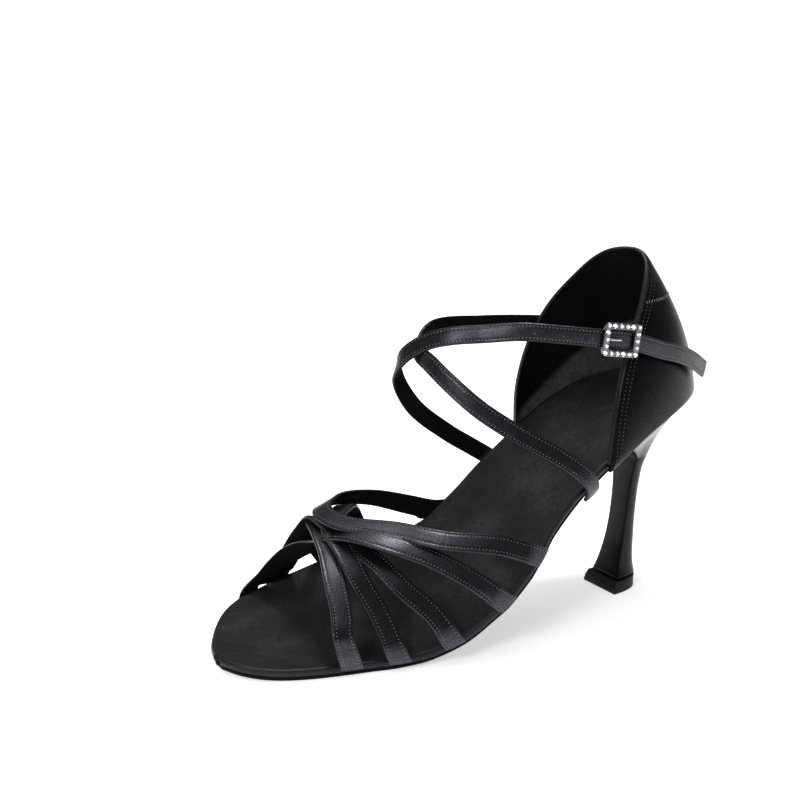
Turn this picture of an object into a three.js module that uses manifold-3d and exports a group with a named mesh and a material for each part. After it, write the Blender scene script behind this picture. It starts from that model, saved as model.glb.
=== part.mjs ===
// Left ballroom sandal with a flared heel, crossed ankle straps and a knotted vamp of five strands.
// Millimetres. +X runs to the toe, +Y to the wearer's left (the outer side), +Z up.
// The origin is the centre of the heel tip's bottom face, on the floor.
import * as THREE from 'three';
import { mergeVertices } from 'three/addons/utils/BufferGeometryUtils.js';
import Module from 'manifold-3d';

const wasm = await Module();
wasm.setup();
const { Manifold, Mesh } = wasm;

// Driving sizes
const soleLength = 200;      // back of the seat to the toe, level
const ballWidth = 80;        // widest part of the forefoot
const seatHeight = 87.7;     // floor to the top of the footbed at the back
const seatBack = -27.6;      // back of the footbed from the heel tip's centre
const insoleThick = 2.9;
const outsoleThick = 1.5;
const outsoleInset = 1;
const heelTipWidth = 19;
const heelTipHeight = 5;
const counterRise = 53.5;    // top of the counter above the back of the footbed
const counterThick = 2;
const strapWidth = 8;
const strapThick = 1.5;
const ankleWidth = 7;
const buckleLength = 16;
const buckleTall = 12.8;
const buckleBar = 2.6;
const buckleThick = 1.8;
const wireSize = 1.2;
const tuck = 1.2;            // strands run down the outer rim by this much,
const innerTuck = 2.4;       // down the inner rim by this much,
const lap = 0.8;             // and start to fold this far above it
const tabWidth = 6;
const tabThick = 1.2;
const gap = 0.3;
const flareOver = 1.5;       // the heel's flare passes the insole's underside before its trim

const ballHeight = insoleThick + gap + outsoleThick;

// Footbed along the sole. at: share of the sole's length. drop: share of the fall from seat to
// ball still to come. skew: how far the section leans forward on the inner side.
const PROFILE = [
  { at: 0.00, drop: 1.000, skew: 0.00 },
  { at: 0.16, drop: 0.889, skew: 0.00 },
  { at: 0.30, drop: 0.704, skew: 0.00 },
  { at: 0.39, drop: 0.548, skew: 0.09 },
  { at: 0.48, drop: 0.383, skew: 0.17 },
  { at: 0.57, drop: 0.214, skew: 0.24 },
  { at: 0.65, drop: 0.066, skew: 0.25 },
  { at: 0.71, drop: 0.012, skew: 0.25 },
  { at: 0.76, drop: 0.000, skew: 0.25 },
  { at: 0.91, drop: 0.000, skew: 0.12 },
  { at: 1.00, drop: 0.018, skew: 0.00 },
];

// Edges of the footbed. outer, inner: shares of the ball width to the outer and inner side.
const OUTLINE = [
  { at: 0.000, outer: 0.012, inner: 0.012 },
  { at: 0.006, outer: 0.090, inner: 0.105 },
  { at: 0.023, outer: 0.160, inner: 0.190 },
  { at: 0.052, outer: 0.221, inner: 0.262 },
  { at: 0.100, outer: 0.271, inner: 0.325 },
  { at: 0.175, outer: 0.308, inner: 0.368 },
  { at: 0.250, outer: 0.318, inner: 0.385 },
  { at: 0.310, outer: 0.318, inner: 0.385 },
  { at: 0.370, outer: 0.310, inner: 0.378 },
  { at: 0.430, outer: 0.322, inner: 0.362 },
  { at: 0.475, outer: 0.355, inner: 0.362 },
  { at: 0.520, outer: 0.373, inner: 0.420 },
  { at: 0.565, outer: 0.373, inner: 0.545 },
  { at: 0.610, outer: 0.344, inner: 0.700 },
  { at: 0.655, outer: 0.306, inner: 0.790 },
  { at: 0.700, outer: 0.260, inner: 0.822 },
  { at: 0.745, outer: 0.212, inner: 0.806 },
  { at: 0.790, outer: 0.168, inner: 0.755 },
  { at: 0.840, outer: 0.125, inner: 0.690 },
  { at: 0.890, outer: 0.072, inner: 0.608 },
  { at: 0.930, outer: 0.012, inner: 0.520 },
  { at: 0.963, outer: -0.055, inner: 0.430 },
  { at: 0.985, outer: -0.125, inner: 0.355 },
  { at: 1.000, outer: -0.205, inner: 0.270 },
];

// Heel post. up: share of the seat height. wide, deep: shares of the tip's width. front: the flat
// front face ahead of the origin, as a share of the tip's width.
const POST = [
  { up: 0.060, wide: 0.82, deep: 0.72, front: 0.27 },
  { up: 0.100, wide: 0.72, deep: 0.63, front: 0.215 },
  { up: 0.160, wide: 0.63, deep: 0.54, front: 0.14 },
  { up: 0.240, wide: 0.57, deep: 0.46, front: 0.05 },
  { up: 0.340, wide: 0.54, deep: 0.40, front: -0.025 },
  { up: 0.460, wide: 0.56, deep: 0.38, front: -0.085 },
  { up: 0.560, wide: 0.66, deep: 0.40, front: -0.12 },
  { up: 0.640, wide: 0.86, deep: 0.50, front: -0.125 },
];

// From the top of the post to the seat. out, up: shares of the way outward and upward.
const FLARE = [
  { out: 0.16, up: 0.22 },
  { out: 0.36, up: 0.44 },
  { out: 0.60, up: 0.65 },
  { out: 0.83, up: 0.85 },
  { out: 1.00, up: 1.00 },
];

// Top line of the counter, from its inner front corner round the back to the outer one, evenly
// spaced. ahead, side: shares of the sole's length and the ball width. rise: share of its rise.
const TOPLINE = [
  { ahead: 0.142, side: -0.412, rise: -0.450 },
  { ahead: 0.142, side: -0.406, rise: -0.109 },
  { ahead: 0.124, side: -0.375, rise: 0.238 },
  { ahead: 0.094, side: -0.319, rise: 0.522 },
  { ahead: 0.058, side: -0.250, rise: 0.729 },
  { ahead: 0.022, side: -0.169, rise: 0.898 },
  { ahead: 0.001, side: -0.087, rise: 0.967 },
  { ahead: -0.024, side: 0.000, rise: 0.976 },
  { ahead: -0.023, side: 0.075, rise: 0.935 },
  { ahead: -0.004, side: 0.144, rise: 0.840 },
  { ahead: 0.028, side: 0.206, rise: 0.673 },
  { ahead: 0.067, side: 0.259, rise: 0.466 },
  { ahead: 0.101, side: 0.294, rise: 0.239 },
  { ahead: 0.129, side: 0.325, rise: -0.072 },
  { ahead: 0.146, side: 0.345, rise: -0.427 },
];

// Strap paths. x, y, z: shares of the sole's length, ball width and seat height from the origin.
// lean: degrees the strap's face turns from its set direction.
const INNER_ANKLE = [
  { x: 0.209, y: -0.389, z: 0.618, lean: 0, edge: 0 },
  { x: 0.252, y: -0.405, z: 0.685, lean: 0, edge: 0 },
  { x: 0.306, y: -0.408, z: 0.768, lean: 4, edge: 0 },
  { x: 0.389, y: -0.400, z: 0.925, lean: 8, edge: 0 },
  { x: 0.432, y: -0.372, z: 1.083, lean: 18, edge: 0 },
  { x: 0.440, y: -0.300, z: 1.184, lean: 28, edge: 0 },
  { x: 0.415, y: -0.202, z: 1.263, lean: 30, edge: 0 },
  { x: 0.389, y: -0.100, z: 1.300, lean: 26, edge: 0 },
  { x: 0.345, y: 0.005, z: 1.317, lean: 20, edge: 0 },
  { x: 0.296, y: 0.125, z: 1.334, lean: 14, edge: 0 },
  { x: 0.235, y: 0.238, z: 1.324, lean: 8, edge: 0 },
  { x: 0.165, y: 0.318, z: 1.302, lean: 4, edge: 0 },
  { x: 0.125, y: 0.338, z: 1.288, lean: 2, edge: 0 },
  { x: 0.080, y: 0.345, z: 1.255, lean: 0, edge: 0 },
  { x: 0.030, y: 0.338, z: 1.212, lean: 2, edge: 0 },
  { x: -0.025, y: 0.318, z: 1.170, lean: 4, edge: 0 },
  { x: -0.073, y: 0.283, z: 1.121, lean: 4, edge: 0 },
  { x: -0.122, y: 0.238, z: 1.054, lean: 2, edge: 0 },
];
const OUTER_ANKLE = [
  { x: 0.190, y: 0.321, z: 0.618, lean: 0, edge: 1 },
  { x: 0.192, y: 0.348, z: 0.654, lean: 0, edge: 1 },
  { x: 0.206, y: 0.358, z: 0.706, lean: 12, edge: 0.8 },
  { x: 0.256, y: 0.318, z: 0.806, lean: 22, edge: 0.3 },
  { x: 0.321, y: 0.212, z: 0.910, lean: 20, edge: 0.1 },
  { x: 0.376, y: 0.092, z: 1.016, lean: 18, edge: 0 },
  { x: 0.404, y: -0.026, z: 1.104, lean: 18, edge: 0 },
  { x: 0.416, y: -0.146, z: 1.172, lean: 20, edge: 0 },
  { x: 0.414, y: -0.272, z: 1.221, lean: 16, edge: 0 },
  { x: 0.352, y: -0.372, z: 1.271, lean: 10, edge: 0 },
  { x: 0.230, y: -0.400, z: 1.249, lean: 2, edge: 0 },
  { x: 0.130, y: -0.382, z: 1.225, lean: 8, edge: 0 },
  { x: 0.095, y: -0.372, z: 1.215, lean: 14, edge: 0 },
];
const TAB = [
  { x: -0.025, y: 0.285, z: 1.172, lean: 14, edge: 0 },
  { x: 0.010, y: 0.293, z: 1.197, lean: 14, edge: 0 },
  { x: 0.040, y: 0.292, z: 1.220, lean: 12, edge: 0 },
  { x: 0.070, y: 0.300, z: 1.243, lean: 8, edge: 0 },
  { x: 0.098, y: 0.316, z: 1.266, lean: 2, edge: 0 },
];

// Vamp strands between the rims. Ends: at, share of the sole's length on the rim.
const STRANDS = [
  { outer: 0.823, inner: 0.602, path: [
    { x: 0.688, y: 0.150, z: 0.190, lean: 0 },
    { x: 0.674, y: 0.075, z: 0.268, lean: 0 },
    { x: 0.658, y: -0.050, z: 0.365, lean: 0 },
    { x: 0.640, y: -0.175, z: 0.438, lean: 0 },
    { x: 0.628, y: -0.290, z: 0.488, lean: 0 },
    { x: 0.616, y: -0.400, z: 0.510, lean: 0 },
    { x: 0.585, y: -0.560, z: 0.440, lean: 0 },
    { x: 0.552, y: -0.680, z: 0.290, lean: 0 } ] },
  { outer: 0.747, inner: 0.562, path: [
    { x: 0.606, y: 0.125, z: 0.240, lean: 0 },
    { x: 0.623, y: 0.025, z: 0.370, lean: 0 },
    { x: 0.623, y: -0.112, z: 0.468, lean: 0 },
    { x: 0.615, y: -0.260, z: 0.520, lean: 0 },
    { x: 0.542, y: -0.425, z: 0.530, lean: 15 },
    { x: 0.486, y: -0.575, z: 0.395, lean: 20 } ] },
  { outer: 0.661, inner: 0.664, path: [
    { x: 0.522, y: 0.262, z: 0.228, lean: 0 },
    { x: 0.564, y: 0.163, z: 0.342, lean: 0 },
    { x: 0.584, y: 0.038, z: 0.422, lean: 0 },
    { x: 0.601, y: -0.112, z: 0.478, lean: 0 },
    { x: 0.611, y: -0.250, z: 0.520, lean: 0 },
    { x: 0.619, y: -0.362, z: 0.531, lean: 35 },
    { x: 0.614, y: -0.500, z: 0.428, lean: 50 },
    { x: 0.607, y: -0.644, z: 0.299, lean: 50 },
    { x: 0.605, y: -0.750, z: 0.182, lean: 25 } ] },
  { outer: 0.572, inner: 0.722, path: [
    { x: 0.458, y: 0.338, z: 0.376, lean: 0 },
    { x: 0.512, y: 0.225, z: 0.462, lean: 0 },
    { x: 0.571, y: 0.075, z: 0.519, lean: 0 },
    { x: 0.611, y: -0.100, z: 0.530, lean: 0 },
    { x: 0.622, y: -0.240, z: 0.490, lean: 0 },
    { x: 0.620, y: -0.338, z: 0.428, lean: 35 },
    { x: 0.622, y: -0.469, z: 0.366, lean: 55 },
    { x: 0.628, y: -0.594, z: 0.294, lean: 55 },
    { x: 0.637, y: -0.700, z: 0.214, lean: 30 },
    { x: 0.647, y: -0.781, z: 0.130, lean: 10 } ] },
  { outer: 0.482, inner: 0.474, path: [
    { x: 0.394, y: 0.338, z: 0.496, lean: 0 },
    { x: 0.493, y: 0.213, z: 0.536, lean: 0 },
    { x: 0.547, y: 0.025, z: 0.553, lean: 0 },
    { x: 0.606, y: -0.175, z: 0.553, lean: 0 },
    { x: 0.616, y: -0.300, z: 0.560, lean: 0 },
    { x: 0.601, y: -0.400, z: 0.560, lean: -5 },
    { x: 0.552, y: -0.470, z: 0.556, lean: -25 },
    { x: 0.462, y: -0.498, z: 0.512, lean: -40 },
    { x: 0.394, y: -0.440, z: 0.460, lean: -75 } ] },
];

// Smooth curve through one column of a table that never overshoots its rows.
function column(rows, key, by = 'at') {
  const n = rows.length;
  const x = rows.map((r) => r[by]);
  const y = rows.map((r) => r[key]);
  const d = [];
  for (let i = 0; i < n - 1; i++) d.push((y[i + 1] - y[i]) / (x[i + 1] - x[i]));
  const m = [d[0]];
  for (let i = 1; i < n - 1; i++) {
    if (d[i - 1] * d[i] <= 0) m.push(0);
    else {
      const a = x[i + 1] - x[i];
      const b = x[i] - x[i - 1];
      m.push((3 * (a + b)) / ((2 * a + b) / d[i - 1] + (a + 2 * b) / d[i]));
    }
  }
  m.push(d[n - 2]);
  return (t) => {
    const v = Math.min(Math.max(t, x[0]), x[n - 1]);
    let i = 0;
    while (i < n - 2 && v > x[i + 1]) i++;
    const h = x[i + 1] - x[i];
    const s = (v - x[i]) / h;
    return (1 + 2 * s) * (1 - s) ** 2 * y[i] + s * (1 - s) ** 2 * h * m[i]
      + s * s * (3 - 2 * s) * y[i + 1] + s * s * (s - 1) * h * m[i + 1];
  };
}

const V = (x, y, z) => new THREE.Vector3(x, y, z);
const dropAt = column(PROFILE, 'drop');
const skewAt = column(PROFILE, 'skew');
const outerAt = column(OUTLINE, 'outer');
const innerAt = column(OUTLINE, 'inner');

const heightAt = (at) => ballHeight + dropAt(at) * (seatHeight - ballHeight);

function slopeAt(at) {
  const e = 0.006;
  const a = Math.min(Math.max(at, e), 1 - e);
  return Math.atan2(heightAt(a - e) - heightAt(a + e), 2 * e * soleLength);
}

// A point of the footbed's plan. side: -1 inner rim, +1 outer rim. out: beyond the rim.
function plan(at, side, out = 0) {
  const o = outerAt(at) * ballWidth;
  const n = -innerAt(at) * ballWidth;
  const y = (o + n) / 2 + (side * (o - n)) / 2;
  const p = V(seatBack + at * soleLength - skewAt(at) * y, y, 0);
  if (!out) return p;
  const e = 0.003;
  const a = plan(Math.max(at - e, 0), Math.sign(side));
  const b = plan(Math.min(at + e, 1), Math.sign(side));
  const t = b.sub(a).normalize();
  return p.add(V(-t.y, t.x, 0).multiplyScalar(Math.sign(side) * out));
}

// The point over a place of the plan. lift: off the footbed, square to it.
function onBed(p, lift, near) {
  let at = near;
  for (let i = 0; i < 6; i++) at = (p.x - seatBack + skewAt(at) * p.y) / soleLength;
  const a = slopeAt(at);
  return V(p.x + Math.sin(a) * lift, p.y, heightAt(at) + Math.cos(a) * lift);
}

const bed = (at, side, lift = 0, out = 0) => onBed(plan(at, side, out), lift, at);

// Direction along the rim towards the toe, over a strap's width.
const halfStrap = strapWidth / 2 / soleLength;
function alongRim(at, side) {
  return bed(at + halfStrap, side).sub(bed(at - halfStrap, side)).normalize();
}

// Where the outer face of a strap lies beside the rim.
function besideRim(at, side, lift) {
  const t = alongRim(at, side);
  const n = V(-t.y, t.x, 0).normalize().multiplyScalar(side);
  const p = bed(at, side, lift);
  const reach = [-1.4, -1, -0.5, 0, 0.5, 1, 1.4].map((k) => k * halfStrap).map((k) => bed(at + k, side, lift).sub(p).dot(n));
  return p.addScaledVector(n, Math.max(...reach) + gap + strapThick);
}

// The two end points of a strand beside the rim. It keeps its angle to the rim as it folds over.
function rimEnd(at, side, next, down) {
  const over = besideRim(at, side, lap);
  const rim = alongRim(at, side);
  const along = THREE.MathUtils.clamp(next.clone().sub(over).normalize().dot(rim), -0.9, 0.9);
  const shift = (lap + down) * along / Math.sqrt(1 - along * along);
  return { over, low: besideRim(at - shift / soleLength, side, -down), rim };
}

function geometry(points, faces) {
  const g = new THREE.BufferGeometry();
  g.setAttribute('position', new THREE.Float32BufferAttribute(points.flatMap((p) => [p.x, p.y, p.z]), 3));
  let volume = 0;
  for (const [a, b, c] of faces) volume += points[a].dot(points[b].clone().cross(points[c]));
  g.setIndex(faces.flatMap(([a, b, c]) => (volume < 0 ? [a, c, b] : [a, b, c])));
  return g;
}

// Closed solid between two sheets of points of the same size, joined round their borders.
function between(front, back) {
  const rows = front.length;
  const cols = front[0].length;
  const points = [...front.flat(), ...back.flat()];
  const half = rows * cols;
  const f = (i, j) => i * cols + j;
  const k = (i, j) => half + i * cols + j;
  const faces = [];
  const quad = (a, b, c, d) => faces.push([a, b, c], [a, c, d]);
  for (let i = 0; i < rows - 1; i++) {
    for (let j = 0; j < cols - 1; j++) {
      quad(f(i, j), f(i, j + 1), f(i + 1, j + 1), f(i + 1, j));
      quad(k(i, j), k(i + 1, j), k(i + 1, j + 1), k(i, j + 1));
    }
    quad(f(i, 0), f(i + 1, 0), k(i + 1, 0), k(i, 0));
    quad(f(i + 1, cols - 1), f(i, cols - 1), k(i, cols - 1), k(i + 1, cols - 1));
  }
  for (let j = 0; j < cols - 1; j++) {
    quad(f(0, j + 1), f(0, j), k(0, j), k(0, j + 1));
    quad(f(rows - 1, j), f(rows - 1, j + 1), k(rows - 1, j + 1), k(rows - 1, j));
  }
  return geometry(points, faces);
}

// Closed solid through a stack of rings, or round a loop of rings.
function loft(rings, loop = false) {
  const n = rings[0].length;
  const points = rings.flat();
  const faces = [];
  const last = loop ? rings.length : rings.length - 1;
  for (let i = 0; i < last; i++) {
    const a = i * n;
    const b = ((i + 1) % rings.length) * n;
    for (let j = 0; j < n; j++) {
      const q = (j + 1) % n;
      faces.push([a + j, a + q, b + q], [a + j, b + q, b + j]);
    }
  }
  if (!loop) {
    const middle = (ring) => ring.reduce((s, p) => s.add(p), V(0, 0, 0)).multiplyScalar(1 / n);
    points.push(middle(rings[0]), middle(rings[rings.length - 1]));
    const top = (rings.length - 1) * n;
    for (let j = 0; j < n; j++) {
      const q = (j + 1) % n;
      faces.push([q, j, points.length - 2], [top + j, top + q, points.length - 1]);
    }
  }
  return geometry(points, faces);
}

function toManifold(g) {
  const m = g.clone();
  m.deleteAttribute('normal');
  m.deleteAttribute('uv');
  const w = mergeVertices(m, 1e-5);
  return new Manifold(new Mesh({
    numProp: 3,
    vertProperties: new Float32Array(w.attributes.position.array),
    triVerts: new Uint32Array(w.index.array),
  }));
}

function fromManifold(m) {
  const mesh = m.getMesh();
  const g = new THREE.BufferGeometry();
  g.setAttribute('position', new THREE.BufferAttribute(new Float32Array(mesh.vertProperties), 3));
  g.setIndex(new THREE.BufferAttribute(new Uint32Array(mesh.triVerts), 1));
  return g;
}

const joined = (list) => fromManifold(list.map(toManifold).reduce((a, b) => a.add(b)));

// Stations of the footbed, closer together at the toe and the seat.
const stationCount = 44;
const stations = Array.from({ length: stationCount + 1 }, (_, i) => {
  const u = i / stationCount;
  return 0.45 * u + 0.275 * (1 - Math.cos(Math.PI * u));
});

// Slab under the footbed between two depths, from one share of the length to the toe.
function slab({ from, top, bottom, inset, bevel }) {
  const list = [from, ...stations.filter((at) => at > from + 0.004)];
  const sheet = (depth, trim) => list.map((at) => {
    const a = plan(at, -1, -inset - bevel);
    const b = plan(at, 1, -inset - bevel);
    return [
      bed(at, -1, depth - trim, -inset),
      ...[0, 0.25, 0.5, 0.75, 1].map((k) => onBed(a.clone().lerp(b, k), depth, at)),
      bed(at, 1, depth - trim, -inset),
    ];
  });
  return between(sheet(-top, bevel * 0.5), sheet(-bottom, -bevel * 0.5));
}

// Ribbon along a path of points with a set width direction at each, and a slanted end where that
// isn't square to the path. base: where its inner face lies off the path.
function ribbon(points, wide, width, thick, steps, base = 0) {
  const curve = new THREE.CatmullRomCurve3(points, false, 'centripetal');
  const across = new THREE.CatmullRomCurve3(wide, false, 'catmullrom', 0.5);
  const front = [];
  const back = [];
  const share = [-0.5, -0.44, 0, 0.44, 0.5];
  for (let i = 0; i <= steps; i++) {
    const t = i / steps;
    const p = curve.getPoint(t);
    const d = curve.getTangent(t);
    const v = across.getPoint(t);
    const w = v.clone().addScaledVector(d, -v.dot(d)).normalize();
    const n = d.clone().cross(w).normalize();
    w.addScaledVector(d, v.dot(d) / v.dot(w));
    const row = (h, bevel) => share.map((s) => p.clone().addScaledVector(w, s * width)
      .addScaledVector(n, Math.abs(s) === 0.5 ? h - bevel : h));
    front.push(row(base + thick, thick * 0.3));
    back.push(row(base, 0));
  }
  return between(front, back);
}

const place = (r) => V(r.x * soleLength, r.y * ballWidth, r.z * seatHeight);

// Width directions for a strap round the ankle: upright, or along the rim where edge is 1.
function uprights(rows, points, sign) {
  const curve = new THREE.CatmullRomCurve3(points, false, 'centripetal');
  return rows.map((r, i) => {
    const d = curve.getTangent(i / (rows.length - 1));
    const w = V(-0.8 * r.edge, 0, 1 - 0.4 * r.edge);
    w.addScaledVector(d, -w.dot(d)).normalize();
    return w.applyAxisAngle(d, THREE.MathUtils.degToRad(-r.lean * sign)).multiplyScalar(sign);
  });
}

// Width directions for a strand of the vamp, laid flat over the foot it would hold.
function overFoot(points, leans, ends) {
  const curve = new THREE.CatmullRomCurve3(points, false, 'centripetal');
  const middle = -0.27 * ballWidth;
  const last = points.length - 1;
  return points.map((p, i) => {
    if (i < 2) return ends[0].clone();
    if (i > last - 2) return ends[1].clone();
    const d = curve.getTangent(i / last);
    const h = Math.max(p.z - ballHeight, 0);
    const n = V(0.3 * h, (p.y - middle) * 0.9, h + 0.5);
    n.addScaledVector(d, -n.dot(d)).normalize();
    return n.cross(d).applyAxisAngle(d, THREE.MathUtils.degToRad(leans[i]));
  });
}

// Rings of a post section: flat front with two corners and a round back.
function postRing(r, z) {
  const ring = [];
  const n = 14;
  const front = r.front * heelTipWidth;
  for (let i = 0; i <= n; i++) {
    const a = (Math.PI * i) / n;
    const c = Math.cos(a);
    const s = Math.sin(a);
    ring.push(V(front - r.deep * heelTipWidth * Math.abs(s) ** 0.8,
      (r.wide * heelTipWidth / 2) * Math.sign(c) * Math.abs(c) ** 0.8, z));
  }
  return ring;
}

// Insole and outsole
const breast = 0.24;
const outsoleFrom = 0.246;
const insole = slab({ from: 0, top: 0, bottom: insoleThick, inset: 0, bevel: 0.9 });
const outsole = slab({
  from: outsoleFrom, top: insoleThick + gap, bottom: insoleThick + gap + outsoleThick,
  inset: outsoleInset, bevel: 0.5,
});

// Heel: the post, flared to the seat and trimmed to the insole's underside
const seatOver = flareOver - insoleThick;
function seatRing() {
  const ring = [];
  const n = 14;
  for (let i = 0; i <= n; i++) {
    const u = (2 * i) / n - 1;
    const side = u <= 0 ? 1 : -1;
    ring.push(bed(breast * u * u, i === n / 2 ? 0 : side, seatOver, counterThick));
  }
  ring[n / 2] = bed(0, 0, seatOver).add(V(-counterThick, 0, 0));
  return ring;
}
const postRings = POST.map((r) => postRing(r, r.up * seatHeight));
postRings[0] = postRing(POST[0], heelTipHeight + gap);
const neck = postRings[postRings.length - 1];
const seat = seatRing();
const flareRings = FLARE.map((r) => neck.map((p, i) => V(
  p.x + (seat[i].x - p.x) * r.out, p.y + (seat[i].y - p.y) * r.out, p.z + (seat[i].z - p.z) * r.up)));
const trimLow = [-0.12, 0, ...stations.filter((at) => at > 0.01 && at < 0.4)].map((at) => [-1, 0, 1].map((s) => {
  const a = slopeAt(Math.max(at, 0));
  const d = insoleThick + gap;
  const z = at < 0 ? heightAt(0) - Math.tan(a) * at * soleLength : heightAt(at);
  return V(seatBack + at * soleLength - Math.sin(a) * d, s * ballWidth * 0.6, z - Math.cos(a) * d);
}));
const trimTop = trimLow.map((row) => row.map((p) => V(p.x, p.y, seatHeight * 1.4)));
const trim = between(trimTop, trimLow);
const heel = fromManifold(toManifold(loft([...postRings, ...flareRings])).subtract(toManifold(trim)));

const tipLow = { wide: 1, deep: 0.82, front: 0.42 };
const tipTop = { wide: 0.9, deep: 0.76, front: 0.335 };
const heelTip = loft([postRing(tipLow, 0), postRing(tipLow, 0.4), postRing(tipTop, heelTipHeight)]);

// Counter
const counterEnd = 0.29;
function counter() {
  const topline = new THREE.CatmullRomCurve3(TOPLINE.map((r) => V(r.ahead * soleLength,
    r.side * ballWidth, seatHeight + r.rise * counterRise)), false, 'centripetal');
  const steps = 36;
  const rise = 9;
  const sheet = (depth) => {
    const rows = [];
    for (let i = 0; i <= steps; i++) {
      const u = (2 * i) / steps - 1;
      const side = u < 0 ? -1 : 1;
      const r = Math.abs(u);
      const at = counterEnd * r * r;
      const low = r === 0 ? bed(0, 0, -insoleThick).add(V(-1.5 * gap - depth, 0, 0))
        : bed(at, side, -insoleThick, gap + depth);
      const n = r === 0 ? V(-1, 0, 0) : plan(at, side, 1).sub(plan(at, side)).setZ(0).normalize();
      const high = topline.getPoint((u + 1) / 2).addScaledVector(n, depth - counterThick);
      const row = [];
      for (let j = 0; j <= rise; j++) {
        const v = j / rise;
        const swell = 0.2 * ballWidth * v * (1 - v) * (1 - 0.8 * r * r);
        row.push(low.clone().lerp(high, v).addScaledVector(n, swell));
      }
      rows.push(row);
    }
    return rows;
  };
  return between(sheet(counterThick), sheet(0));
}

// Straps
function strap(rows, sign, steps) {
  const points = rows.map(place);
  return ribbon(points, uprights(rows, points, sign), ankleWidth, strapThick, steps);
}
const tabPoints = TAB.map(place);
const buckleTab = ribbon(tabPoints, uprights(TAB, tabPoints, -1), tabWidth, tabThick, 14);
const crossStraps = joined([strap(INNER_ANKLE, 1, 60), strap(OUTER_ANKLE, -1, 44)]);

function strand({ outer, inner, path }) {
  const middle = path.map(place);
  const start = rimEnd(outer, 1, middle[0], tuck);
  const end = rimEnd(inner, -1, middle[middle.length - 1], innerTuck);
  const points = [start.low, start.over, ...middle, end.over, end.low];
  const leans = [0, 0, ...path.map((r) => r.lean), 0, 0];
  return ribbon(points, overFoot(points, leans, [start.rim, end.rim]), strapWidth, strapThick, 32, -strapThick);
}
const vampStraps = joined(STRANDS.map(strand));

// Buckle, on the outer face of the inner ankle strap
const seatRow = 11.72;
const hookRow = 11.05;
const anklePoints = INNER_ANKLE.map(place);
const ankleCurve = new THREE.CatmullRomCurve3(anklePoints, false, 'centripetal');
const ankleWide = new THREE.CatmullRomCurve3(uprights(INNER_ANKLE, anklePoints, 1), false, 'catmullrom', 0.5);

// Places points by the strap's own directions at a row: along it, up its width, off its inner face.
function onAnkle(row) {
  const t = row / (INNER_ANKLE.length - 1);
  const middle = ankleCurve.getPoint(t);
  const along = ankleCurve.getTangent(t);
  const up = ankleWide.getPoint(t);
  up.addScaledVector(along, -up.dot(along)).normalize();
  const off = along.clone().cross(up).normalize();
  return (x, y, h) => middle.clone().addScaledVector(along, x).addScaledVector(up, y).addScaledVector(off, h);
}
const onBuckle = onAnkle(seatRow);
const onHook = onAnkle(hookRow);

function frame() {
  const a = (buckleLength - buckleBar) / 2;
  const b = (buckleTall - buckleBar) / 2;
  const c = 1;
  const path = [[a, b - c], [a - c, b], [0, b], [c - a, b], [-a, b - c], [-a, 0], [-a, c - b], [c - a, -b],
    [0, -b], [a - c, -b], [a, c - b], [a, 0]];
  const low = strapThick + gap;
  const bar = buckleBar / 2;
  const profile = [[-bar, 0], [bar, 0], [bar, 0.6], [bar * 0.6, 1], [-bar * 0.6, 1], [-bar, 0.6]];
  return loft(path.map(([x, y]) => {
    const sx = Math.abs(x) >= a - c - 0.01 ? Math.sign(x) : 0;
    const sy = Math.abs(y) >= b - c - 0.01 ? Math.sign(y) : 0;
    return profile.map(([o, h]) => onBuckle(x + sx * o, y + sy * o, low + h * buckleThick));
  }), true);
}

function wire(points, radius, steps) {
  const curve = new THREE.CatmullRomCurve3(points, false, 'catmullrom', 0.15);
  const frames = curve.computeFrenetFrames(steps, false);
  const rings = [];
  for (let i = 0; i <= steps; i++) {
    const p = curve.getPointAt(i / steps);
    const ring = [];
    for (let j = 0; j < 6; j++) {
      const a = (Math.PI * j) / 3;
      ring.push(p.clone().addScaledVector(frames.normals[i], Math.cos(a) * radius)
        .addScaledVector(frames.binormals[i], Math.sin(a) * radius));
    }
    rings.push(ring);
  }
  return loft(rings);
}
const wireHalf = ankleWidth / 2 + gap + wireSize / 2;
const wireOver = strapThick - wireSize / 2;
const wireUnder = -gap - wireSize / 2;
const wireSide = (wireOver + wireUnder) / 2;
const keeper = wire([
  onBuckle(-2, wireHalf, wireOver), onHook(1, wireHalf, wireOver), onHook(0, wireHalf, wireSide),
  onHook(0, wireHalf - 1, wireUnder), onHook(0, 0, wireUnder), onHook(0, 1 - wireHalf, wireUnder),
  onHook(0, -wireHalf, wireSide), onHook(1, -wireHalf, wireOver), onBuckle(-2, -wireHalf, wireOver),
], wireSize / 2, 40);
const prongLow = strapThick + gap + wireSize / 2;
const prong = wire([
  onBuckle(-buckleLength / 2 + buckleBar + gap, 0, prongLow), onBuckle(-2.5, 0, prongLow + 0.25),
  onBuckle(-0.5, 0, prongLow),
], wireSize / 2, 6);

function piece(name, shape, colour, roughness, metalness = 0) {
  const g = shape.index ? shape.toNonIndexed() : shape;
  g.computeVertexNormals();
  const m = new THREE.Mesh(g, new THREE.MeshStandardMaterial({
    color: colour, roughness, metalness, flatShading: true,
  }));
  m.name = name;
  return m;
}

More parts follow.
